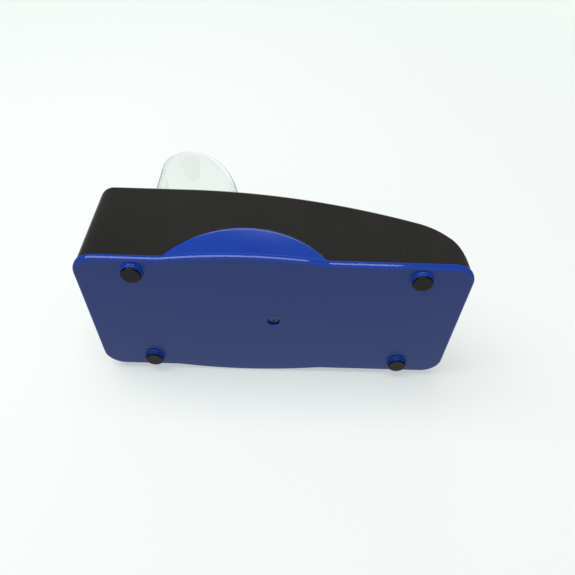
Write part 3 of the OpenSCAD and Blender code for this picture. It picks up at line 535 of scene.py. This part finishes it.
def makeBase(shape=baseShape):
    # The outline's rim is a quarter ellipse from the parting line in to the flat underside; the lip, recess, foot rings and
    # bosses are profiles swept or turned.
    underZ, beadIn, beadDeep, parting = shape["underZ"], shape["beadIn"], shape["beadDeep"], shape["parting"]
    bead = quarter(0.0, 0.0, 1.0, 178, 270, 20) * [beadIn, beadDeep] + [beadIn, underZ + beadDeep]
    outer = np.concatenate([[[shape["lipInset"], parting]], quarter(0.22, parting - 0.22, 0.22, 90, 165, 4), bead])
    outer[1:, 0] = np.maximum(outer[1:, 0], 0)
    under = basePlan(beadIn)
    lipOut, lipIn, lipTop = shape["lipInset"], shape["lipInset"] + shape["lipThick"], shape["lipTop"]
    lip = np.array([[lipOut, parting], [lipOut, lipTop - 0.4], [lipOut + 0.4, lipTop], [lipIn - 0.4, lipTop],
                    [lipIn, lipTop - 0.4], [lipIn, shape["floor"]]])
    recessTop = underZ + shape["recessDeep"]
    recess = np.concatenate([[[shape["recess"] + 0.55, underZ]], quarter(shape["recess"] + 0.3, 3.3, 0.3, -90, -180, 5),
                             [[shape["recess"], recessTop], [shape["bore"], recessTop], [shape["bore"], shape["floor"]]]])
    angle = np.arctan2(under[:, 1], under[:, 0])[:, None]
    sunk = np.stack([recess[:, 0] * np.cos(angle), recess[:, 0] * np.sin(angle),
                     np.broadcast_to(recess[:, 1], (len(angle), len(recess)))], -1)
    surfaces = [(sweptPlan(outer), True, None), (fillIn(under, shape["recess"] + 0.55, underZ), True, None),
                (sweptPlan(lip), True, None), (fillIn(basePlan(lipIn), shape["bore"], shape["floor"]), True, None),
                (sunk, True, None), halfMoon(1), halfMoon(-1)]
    ringR, ringFoot = shape["ringR"], shape["ringFoot"]
    ringWall = np.concatenate([quarter(ringR + 0.5, 2.5, 0.5, 90, 180, 5), quarter(ringR - 0.2, ringFoot + 0.2, 0.2, 0, -90, 4),
                               quarter(5.3, ringFoot + 0.15, 0.15, -90, -180, 3), [[5.15, 2.45], [0.0, 2.45]]])
    surfaces += [turned(ringWall, middle) for middle in padMiddles()]
    pillar = [[4.3, 5.4], [4.0, 5.7], [4.0, 9.2], [3.8, 9.4], [1.6, 9.4], [1.55, 5.6], [0, 5.6]]
    surfaces += [turned(pillar, (x, y, 0)) for x in (-66.0, 44.0) for y in (-34.5, 34.5)]
    surfaces.append(turned([[7.0, 5.4], [6.7, 5.7], [6.7, 7.2], [6.5, 7.4], [1.6, 7.4], [1.6, 5.4]], (0, 0, 0)))
    return makePiece("baseMoulding", surfaces, "base_cover", sharp=40)


makeBase()


def makePads():  # a disc with a rounded lower edge, a little hollow underneath
    rounded = [tuple(p) for p in quarter(4.55, 0.55, 0.55, -90, 0, 6)]
    face = [(0, 0.06), (2.6, 0.05), (4.2, 0.0), (4.55, 0.0)] + rounded + [(5.1, 2.4), (0, 2.4)]
    return makePiece("rubberPads", [turned(face, middle) for middle in padMiddles()], "foot_pads")


makePads()


def makeScrew():
    # Pan head seen from below, sunk in its recess, with a cross cut by lowering a grid: depth grows where |a| or |b| is small.
    look = {"headR": 2.9, "rim": 4.6, "crown": 3.75, "slotHalf": 0.33, "slotLong": 1.75, "slotDeep": 0.55, "shankR": 1.45, "tip": 12.6}
    turn = np.linspace(0, 2 * np.pi, 96, endpoint=False)[:, None]
    r = np.concatenate([np.linspace(0, 1.9, 28), np.linspace(2.0, 2.6, 5)])[None, :]
    dome = look["crown"] + 0.28 * (r / 2.6) ** 2
    a, b = r * np.cos(turn), r * np.sin(turn)

    def slot(u, v):
        return np.clip((look["slotHalf"] - np.abs(u)) / 0.08, 0, 1) * np.clip((look["slotLong"] - np.abs(v)) / 0.12, 0, 1)

    cut = np.maximum(slot(a, b), slot(b, a)) * look["slotDeep"]
    face = np.stack([a, b, dome + cut], -1)
    skirt = [(2.6, look["crown"] + 0.28)] + [tuple(p) for p in quarter(2.55, 4.38, 0.35, -80, 0, 5)] + \
            [(look["headR"], look["rim"]), (look["shankR"], look["rim"]), (look["shankR"], look["tip"] - 0.6),
             (0.9, look["tip"]), (0, look["tip"])]
    piece = makePiece("sunkScrew", [(face, True, None), turned(skirt, (0, 0, 0), "Z", 96)], "base_screw", sharp=45)
    # Blackened steel whose colour is tinted blue: a painted reflection of the blue moulding round the sunk head.
    piece.data.materials[0] = metalFinish("screw_steel_blackened_painted_blue_reflection", {"light": (0.1, 0.12, 0.19, 1), "dark": (0.03, 0.035, 0.06, 1),
        "rubbed": (0.6, 0.62, 0.68, 1), "rub": 0.8, "rough": (0.16, 0.3), "stretch": (900.0, 900.0, 900.0), "bump": 0.2, "edgeRadius": 0.0002})
    return piece


makeScrew()
print("base, pads and screw made")


housingShape = {"rear": 98.7, "sideY": 44.75, "lean": math.tan(math.radians(1.25)), "corner": 9.0, "crown": 61.0, "crownX": -50.0,
                "topR": 350.0, "noseR": 35.0, "noseX": 62.5, "noseZ": 5.2257, "edge": 2.0, "rearEdge": 3.0, "parting": 6.2,
                "channelHalf": 27.0, "channelBack": -76.0, "frontWall": 20.0, "wall": 2.2, "rimRound": 0.35, "moonGap": 0.3,
                "moonEnd": 41.3, "channelRound": 1.5}


class SideLine:  # side view of the roof: level, then a flat arc, then the nose's arc, by length from the back
    def __init__(self, shape):
        self.shape = shape
        self.turn = math.asin((shape["noseX"] - shape["crownX"]) / (shape["topR"] - shape["noseR"]))
        self.flat = shape["crownX"] + shape["rear"]
        self.slope = shape["topR"] * self.turn
        self.nose = shape["noseR"] * (math.pi / 2 - self.turn)

    def at(self, q):  # x, z and the angle that the normal leans forward, at length q
        s = self.shape
        q = np.asarray(q, float)
        a = np.clip((q - self.flat) / s["topR"], 0, self.turn)
        b = np.clip(q - self.flat - self.slope, 0, None) / s["noseR"]
        lean = a + b
        top = np.stack([s["crownX"] + s["topR"] * np.sin(a), s["crown"] - s["topR"] + s["topR"] * np.cos(a)], -1)
        top[..., 0] += np.minimum(q - self.flat, 0)
        nose = np.stack([s["noseX"] + s["noseR"] * np.sin(lean), s["noseZ"] + s["noseR"] * np.cos(lean)], -1)
        point = np.where((b > 0)[..., None], nose, top)
        return point[..., 0], point[..., 1], lean

    def lengthAtX(self, x):
        s = self.shape
        x = np.asarray(x, float)
        onArc = s["topR"] * np.arcsin(np.clip((x - s["crownX"]) / s["topR"], 0, 1))
        onNose = s["noseR"] * (np.arcsin(np.clip((x - s["noseX"]) / s["noseR"], -1, 1)) - self.turn)
        startNose = s["crownX"] + s["topR"] * math.sin(self.turn)
        return np.where(x < s["crownX"], x + s["rear"], np.where(x < startNose, self.flat + onArc, self.flat + self.slope + onNose))

    def lengthAtHeight(self, z):  # on the nose
        s = self.shape
        return self.flat + self.slope + s["noseR"] * (math.acos((z - s["noseZ"]) / s["noseR"]) - self.turn)


def makeHousing(shape=housingShape):
    # Half of the shell from the parting line up each wall, over a round edge and across the roof to the channel, then mirrored.
    # The round edge is a ball of radius r that rolls between wall and roof, whose middle is
    # edge - r (wallN + roofN) / (1 + wallN . roofN).
    line = SideLine(shape)
    tip = line.lengthAtHeight(shape["parting"])
    lip = line.lengthAtHeight(shape["frontWall"])
    back = line.lengthAtX(shape["channelBack"])
    corner, moonX, moonEnd = shape["corner"], baseShape["bulgeX"], shape["moonEnd"]
    cornerY, hullX = shape["sideY"] - corner, shape["rear"] - corner
    x, y, wallTurn, r, share = [], [], [], [], []  # the foot's outline, its wall's direction, its edge's round, and section plus share of it

    def addSection(xs, ys, turns, rounds, shares):
        for store, values in zip((x, y, wallTurn, r, share), (xs, ys, turns, rounds, shares)):
            store.append(values)

    def alongCorner(middleX, turns):
        return middleX + corner * np.cos(np.radians(turns)), cornerY + corner * np.sin(np.radians(turns))

    s = np.linspace(0, 1, 14, endpoint=False)  # back
    addSection(0 * s - shape["rear"], s * cornerY, 0 * s + 180, 0 * s + shape["rearEdge"], s)
    s = np.linspace(0, 1, 16, endpoint=False)  # back corner
    a = 180 - 90 * s
    addSection(*alongCorner(-hullX, a), a, shape["rearEdge"] + (shape["edge"] - shape["rearEdge"]) * (3 * s ** 2 - 2 * s ** 3), 1 + s)
    xs = np.concatenate([np.linspace(-hullX, moonX - moonEnd, 16, endpoint=False),
                         moonX - moonEnd * np.cos(np.radians(np.linspace(0, 180, 110, endpoint=False))),
                         np.linspace(moonX + moonEnd, hullX, 44, endpoint=False)])  # side, closer together along the half-moon
    addSection(xs, 0 * xs + shape["sideY"], 0 * xs + 90, 0 * xs + shape["edge"], 2 + (xs + hullX) / (2 * hullX))
    frontEnd = math.degrees(math.acos((line.at(tip)[0] - hullX) / corner))
    s = np.linspace(0, 1, 28, endpoint=False)  # front corner
    a = 90 - (90 - frontEnd) * s
    addSection(*alongCorner(hullX, a), a, 0 * s + shape["edge"], 3 + s)
    lastY = cornerY + corner * math.sin(math.radians(frontEnd))
    s = np.linspace(0, 1, 18)  # nose
    addSection(0 * s + line.at(tip)[0], lastY * (1 - s), 0 * s, 0 * s, 4 + s)
    x, y, wallTurn, r, share = [np.concatenate(v) for v in (x, y, wallTurn, r, share)]
    q = np.where(share >= 4, tip, line.lengthAtX(x))
    _, topZ, lean = line.at(q)
    topZ = np.where(share >= 4, shape["parting"], np.maximum(topZ, shape["parting"]))
    nearSide = np.clip(y / cornerY, 0, 1)
    wallN = np.stack([np.cos(np.radians(wallTurn)), np.sin(np.radians(wallTurn)), 0 * x], -1)
    roofN = np.stack([np.sin(lean), 0 * x, np.cos(lean)], -1)
    along = np.stack([np.cos(lean), 0 * x, -np.sin(lean)], -1)
    leanIn = (topZ - 3.0) * shape["lean"] * nearSide
    edge = np.stack([x, y - leanIn, topZ], -1)
    dot = (wallN * roofN).sum(-1)
    halfTan = np.sqrt(np.clip((1 - dot) / (1 + dot), 0, None))
    r = np.minimum(r, 0.9 * (topZ - shape["parting"]) / np.maximum(halfTan, 1e-3))
    r = np.where(share >= 4, 0, r)[:, None]
    ball = edge - r * (wallN + roofN) / (1 + dot)[:, None]
    moon = shape["parting"] + 0 * x
    inMoon = (share > 2) & (share < 3)
    arc = baseShape["moonZ"] + np.sqrt(np.clip((baseShape["moonR"] + shape["moonGap"]) ** 2 - (x - baseShape["bulgeX"]) ** 2, 0, None))
    moon = np.where(inMoon, np.maximum(moon, arc), moon)
    foot = np.stack([x, y - (moon - 3.0) * shape["lean"] * nearSide, moon], -1)
    wallTop = ball + r * wallN
    columns = [foot * (1 - t) + wallTop * t for t in (0, 0.012, 0.03, 0.1, 0.3, 0.6, 0.9, 0.98, 1)]
    angle = np.arccos(np.clip(dot, -1, 1))[:, None]
    for t in np.linspace(0, 1, 8)[1:]:  # slerp from wall normal to roof normal
        safe = np.maximum(np.sin(angle), 1e-6)
        n = (np.sin((1 - t) * angle) * wallN + np.sin(t * angle) * roofN) / safe
        columns.append(ball + r * n)
    offset = columns[-1] - edge
    qStart, yStart = q + (offset * along).sum(-1), edge[:, 1] + offset[:, 1]
    cr = shape["channelRound"]
    half, section = shape["channelHalf"], np.floor(np.minimum(share, 4.999)).astype(int)
    part = share - section
    part = np.where(share >= 5, 1.0, part)
    sections = [section == k for k in range(4)]
    sideQ = q[section == 2]
    sideShare = np.clip((q - sideQ[0]) / (sideQ[-1] - sideQ[0]), 0, 1)
    sine, cosine = np.sin(np.radians(90 * part)), np.cos(np.radians(90 * part))
    kq = np.select(sections, [back + 0 * x, back + cr - cr * cosine, back + cr + (lip - back - 2 * cr) * sideShare, lip - cr + cr * sine],
                   lip + 0 * x)  # the channel's edge, row for row
    ky = np.select(sections, [part * (half - cr), half - cr + cr * sine, half + 0 * x, half - cr + cr * cosine], (1 - part) * (half - cr))
    for t in (0.02, 0.06, 0.15, 0.3, 0.45, 0.6, 0.75, 0.88, 0.95, 0.975, 1):
        qq, yy = qStart * (1 - t) + kq * t, yStart * (1 - t) + ky * t
        px, pz, _ = line.at(qq)
        columns.append(np.stack([px, yy, pz], -1))
    grid = np.stack(columns, 1)
    other = grid[::-1] * [1, -1, 1]
    piece = makePiece("housingShell", [(grid, False, None), (other, False, None)], "upper_housing", turnOut=False, sharp=50)
    makeShellWall(piece, np.array([0.0, 0.0, 0.03]), shape["wall"], shape["rimRound"])
    return piece


makeHousing()
print("housing made")


guardShape = {"apexX": -57.0, "apexZ": 120.0, "rearR": 17.0, "frontA": 35.0, "frontB": 59.0, "half": 29.5, "wall": 1.8, "seat": 61.3,
              "rimRound": 0.3, "sideRound": 7.0, "outlet": 65.5, "outletHalf": 27.0, "ellipseZ": 61.0,
              "hingeX": -78.0, "hingeZ": 64.8, "knuckle": 3.2, "knuckleBore": 1.55, "knuckleLong": 7.7, "knuckleY": (15.3, -23.0)}


def guardOutline(shape=guardShape):
    # Side view from the back's foot to the front's foot: upright, a round corner, then a quarter of an ellipse.
    # Gives points and outward normals.
    backX = shape["apexX"] - shape["rearR"]
    up = np.linspace(shape["seat"], shape["apexZ"] - shape["rearR"], 22)[:-1]
    corner = np.radians(np.linspace(180, 90, 25))[:-1]
    foot = math.asin((shape["seat"] - shape["ellipseZ"]) / shape["frontB"])
    notch = math.asin((shape["outlet"] - shape["ellipseZ"]) / shape["frontB"])
    sweep = np.concatenate([np.linspace(math.pi / 2, notch, 56), np.linspace(notch, foot, 5)[1:]])
    x = np.concatenate([0 * up + backX, shape["apexX"] + shape["rearR"] * np.cos(corner), shape["apexX"] + shape["frontA"] * np.cos(sweep)])
    z = np.concatenate([up, shape["apexZ"] - shape["rearR"] + shape["rearR"] * np.sin(corner),
                        shape["ellipseZ"] + shape["frontB"] * np.sin(sweep)])
    nx = np.concatenate([0 * up - 1, np.cos(corner), np.cos(sweep) / shape["frontA"]])
    nz = np.concatenate([0 * up, np.sin(corner), np.sin(sweep) / shape["frontB"]])
    n = np.stack([nx, nz], -1)
    return np.stack([x, z], -1), n / np.linalg.norm(n, axis=1, keepdims=True)


def makeGuard(shape=guardShape):
    # Each row starts at the foot of one side, rises to the side's round edge, crosses the roof, and comes down the other side.
    outline, normal = guardOutline()
    r, half = shape["sideRound"], shape["half"]
    backX, frontX = shape["apexX"] - shape["rearR"], shape["apexX"] + shape["frontA"]
    inner = outline - r * normal
    step = np.linalg.norm(np.diff(outline, axis=0), axis=1)
    share = np.concatenate([[0], np.cumsum(step)]) / step.sum()
    footX = (backX + r) + (frontX - backX - 2 * r) * share
    inner[:, 1] = np.maximum(inner[:, 1], shape["seat"])
    foot = np.stack([footX, 0 * footX + shape["seat"]], -1)
    columns, ys = [], []
    for t in np.linspace(0, 1, 12)[:-1]:
        columns.append(foot * (1 - t) + inner * t); ys.append(half)
    edgeTurn = math.degrees(math.asin((shape["outletHalf"] - half + r) / r))
    for a in np.radians(np.concatenate([np.linspace(90, edgeTurn, 6), np.linspace(edgeTurn, 0, 7)[1:]])):
        columns.append(inner + r * math.cos(a) * normal); ys.append(half - r + r * math.sin(a))
    for yy in np.linspace(half - r, 0, 8)[1:]:
        columns.append(outline); ys.append(yy)
    ys = np.array(ys)
    flat = np.stack(columns, 1)
    grid = np.stack([flat[..., 0], np.broadcast_to(ys, flat.shape[:2]), np.maximum(flat[..., 1], shape["seat"])], -1)
    columnMiddle = (ys[:-1] + ys[1:]) / 2
    inNotch = (np.arange(len(outline) - 1) >= len(outline) - 5)[:, None] & (columnMiddle < shape["outletHalf"] - 1e-6)[None, :]
    keep = ~inNotch  # the outlet's notch stays open
    mirror = grid[::-1] * [1, -1, 1]
    piece = makePiece("clearGuard", [(grid, False, keep), (mirror, False, keep[::-1])], "roll_guard", turnOut=False, sharp=50)
    makeShellWall(piece, np.array([-0.05, 0, 0.075]), shape["wall"], shape["rimRound"])
    bore, long, tall = shape["knuckleBore"], shape["knuckleLong"], shape["knuckle"]
    for k, y in enumerate(shape["knuckleY"]):
        profile = [(bore, 0), (bore, long)] + [tuple(p) for p in quarter(tall - 0.3, long - 0.3, 0.3, 90, 0, 4)] + \
                  [tuple(p) for p in quarter(tall - 0.3, 0.3, 0.3, 0, -90, 4)] + [(bore, 0)]
        makePiece(f"guardKnuckle{k + 1}", [turned(profile, (shape["hingeX"], y, shape["hingeZ"]), "Y", 48)], "roll_guard", replacing=False)
        x = np.array([shape["hingeX"] + 2.2, backX + 0.2])
        z = np.array([shape["hingeZ"] + 0.6, shape["hingeZ"] + tall - 0.1])
        loop = np.array([[x[0], z[0]], [x[1], z[0]], [x[1], z[1] + 1.2], [x[1] - 0.7, z[1] + 0.35], [x[0], z[1]]])
        middle = np.tile(loop.mean(0), (len(loop), 1))
        slices = [(middle, y), (loop, y), (loop, y + long), (middle, y + long)]  # end cap, two edges of the web, end cap
        web = np.stack([np.stack([points[:, 0], 0 * points[:, 0] + yy, points[:, 1]], -1) for points, yy in slices], 1)
        makePiece(f"guardWeb{k + 1}", [(web, True, None)], "roll_guard", replacing=False, sharp=30)
    return piece


makeGuard()
print("clear guard made")


def stagePlane(name, corners, middle, glow, color):
    # Pale ground, seen from its front only so that it never hides the machine. It glows a little, so its shadows
    # stay soft, and it fades out away from its middle.
    mesh = bpy.data.meshes.new(name)
    mesh.from_pydata(corners, [], [(0, 1, 2, 3)])
    plane = bpy.data.objects.new(name, mesh)
    bpy.context.scene.collection.objects.link(plane)
    material, tree, shader = startMaterial(name, {"Roughness": 0.9, "Specular IOR Level": 0.0, "Emission Strength": 1.0,
                                                  "Emission Color": tuple(glow) + (1,)})
    noise = addNode(tree, "ShaderNodeTexNoise", None, {"Scale": 3.0, "Detail": 2.0})
    tree.links.new(objectPoint(tree), noise.inputs["Vector"])
    tree.links.new(addMix(tree, noise.outputs["Fac"], tuple(color) + (1,), tuple(c * 0.98 for c in color) + (1,)), shader.inputs["Base Color"])
    away = addNode(tree, "ShaderNodeVectorMath", {"operation": "DISTANCE"})
    away.inputs[1].default_value = middle
    tree.links.new(objectPoint(tree), away.inputs[0])
    far = addRange(tree, away.outputs["Value"], 0.28, 0.62)
    unseen = addMath(tree, "MAXIMUM", addNode(tree, "ShaderNodeNewGeometry").outputs["Backfacing"], far)
    clear = addNode(tree, "ShaderNodeBsdfTransparent")
    mix = addNode(tree, "ShaderNodeMixShader")
    tree.links.new(unseen, mix.inputs[0])
    tree.links.new(shader.outputs[0], mix.inputs[1])
    tree.links.new(clear.outputs[0], mix.inputs[2])
    tree.links.new(mix.outputs[0], tree.nodes["Material Output"].inputs["Surface"])
    mesh.materials.append(material)
    return plane


def onlySeen(plane):  # the camera sees it and it catches shadows, but it neither shades nor mirrors on the machine
    plane.visible_diffuse = plane.visible_glossy = plane.visible_transmission = plane.visible_shadow = False


sideWall = cadBox[1][1] + 0.0002  # the machine lies on its left side in the main view
tablePlane = stagePlane("sideTable", [(-1, sideWall, -0.9), (1, sideWall, -0.9), (1, sideWall, 0.9), (-1, sideWall, 0.9)],
                        (0.0, sideWall, 0.06), (0.42, 0.445, 0.437), (0.49, 0.5, 0.497))
floorPlane = stagePlane("floor", [(-1, -1, -0.0002), (1, -1, -0.0002), (1, 1, -0.0002), (-1, 1, -0.0002)],
                        (0.0, 0.0, 0.0), (0.38, 0.405, 0.4), (0.49, 0.5, 0.497))
onlySeen(tablePlane)
onlySeen(floorPlane)

world = bpy.data.worlds.new("softRoom")
bpy.context.scene.world = world
world.use_nodes = True
worldTree = world.node_tree
sky = worldTree.nodes["Background"]
sky.inputs["Strength"].default_value = 1.0
roomLight = {"all": 0.2, "side": 0.1, "table": 0.3, "top": 1.1, "below": 0.42}  # brightness from everywhere, -Y, +Y, +Z and -Z
direction = addNode(worldTree, "ShaderNodeSeparateXYZ")
worldTree.links.new(addNode(worldTree, "ShaderNodeTexCoord").outputs["Generated"], direction.inputs[0])
total = roomLight["all"]
for key, axis, low, high in (("side", "Y", 0.0, -1.0), ("top", "Z", 0.915, 0.935), ("below", "Z", 0.0, -1.0), ("table", "Y", 0.0, 1.0)):
    share = addRange(worldTree, direction.outputs[axis], low, high)
    total = addMath(worldTree, "ADD", addMath(worldTree, "MULTIPLY", share, roomLight[key]), total)
lit = addNode(worldTree, "ShaderNodeVectorMath", {"operation": "SCALE"})
lit.inputs[0].default_value = (0.965, 1.0, 0.985)
worldTree.links.new(total, lit.inputs["Scale"])
path = addNode(worldTree, "ShaderNodeLightPath")
seen = addMath(worldTree, "MAXIMUM", path.outputs["Is Camera Ray"], path.outputs["Is Transmission Ray"])  # pale behind the clear guard too
worldTree.links.new(addMix(worldTree, seen, lit.outputs[0], (0.905, 0.965, 0.93, 1)), sky.inputs["Color"])


def softLight(name, place, target, size, power, inGloss=True, color=(1, 1, 1)):  # a soft box, size across and up
    light = bpy.data.lights.new(name, "AREA")
    light.shape, light.size, light.size_y, light.energy, light.color = "RECTANGLE", size[0], size[1], power, color
    lamp = bpy.data.objects.new(name, light)
    lamp.location = place
    lamp.rotation_euler = (Vector(target) - Vector(place)).to_track_quat("-Z", "Y").to_euler()
    lamp.visible_glossy = inGloss
    lamp.visible_transmission = False
    bpy.context.scene.collection.objects.link(lamp)
    return lamp


softLight("windowLight", (-0.35, -1.25, 0.12), (0, 0, 0.03), (1.5, 0.8), 17.0, color=(1.0, 0.995, 0.985))
softLight("topLight", (0.2, 0.15, 1.4), (0, 0, 0.03), (0.9, 0.9), 5.0, inGloss=False)

cameraData = bpy.data.cameras.new("camera")
cameraData.sensor_width, cameraData.lens = 36.0, 540 / 575 * 36.0
cameraData.clip_start, cameraData.clip_end = 0.01, 20.0
camera = bpy.data.objects.new("camera", cameraData)
bpy.context.scene.collection.objects.link(camera)
right, up, ahead = Vector((0.99956, -0.02489, 0.01626)), Vector((-0.02865, -0.66005, 0.75068)), Vector((0.00795, 0.75081, 0.66047))
camera.matrix_world = Matrix.Translation((0.004736, -0.232998, -0.177042)) @ Matrix((right, up, -ahead)).transposed().to_4x4()
bpy.context.scene.camera = camera
bpy.context.scene.view_settings.view_transform = "Standard"

print("stage ready")
